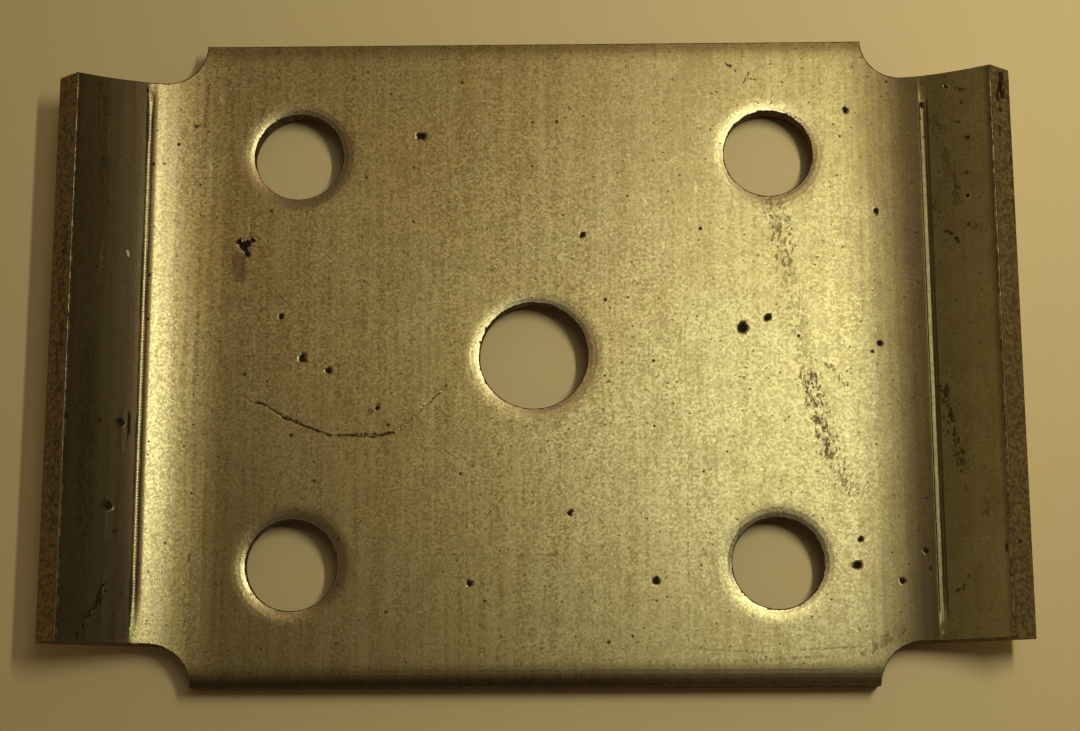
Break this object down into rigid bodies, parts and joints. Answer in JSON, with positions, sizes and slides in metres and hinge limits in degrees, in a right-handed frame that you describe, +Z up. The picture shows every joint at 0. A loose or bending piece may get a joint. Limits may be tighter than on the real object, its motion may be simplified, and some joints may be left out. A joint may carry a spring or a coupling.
{
  "type": "spring tie plate",
  "caption": "Thick stamped steel plate with notched corners, punched U-bolt holes, a centre hole and both ends bent up into shallow flanges.",
  "frame": {"origin": "underside of the plate, on the axis of the middle hole", "axes": "+X along the plate, from flange to flange; +Y across it; +Z up through the sheet, towards the side the flanges rise to"},
  "size_m": [0.1536, 0.1046, 0.012],
  "materials": {
    "steel": "bare mill-finish steel with fine grain, pits, scratches and dark handling marks"
  },
  "bodies": {
    "root": {"tie_plate": "steel"}
  },
  "joints": []
}
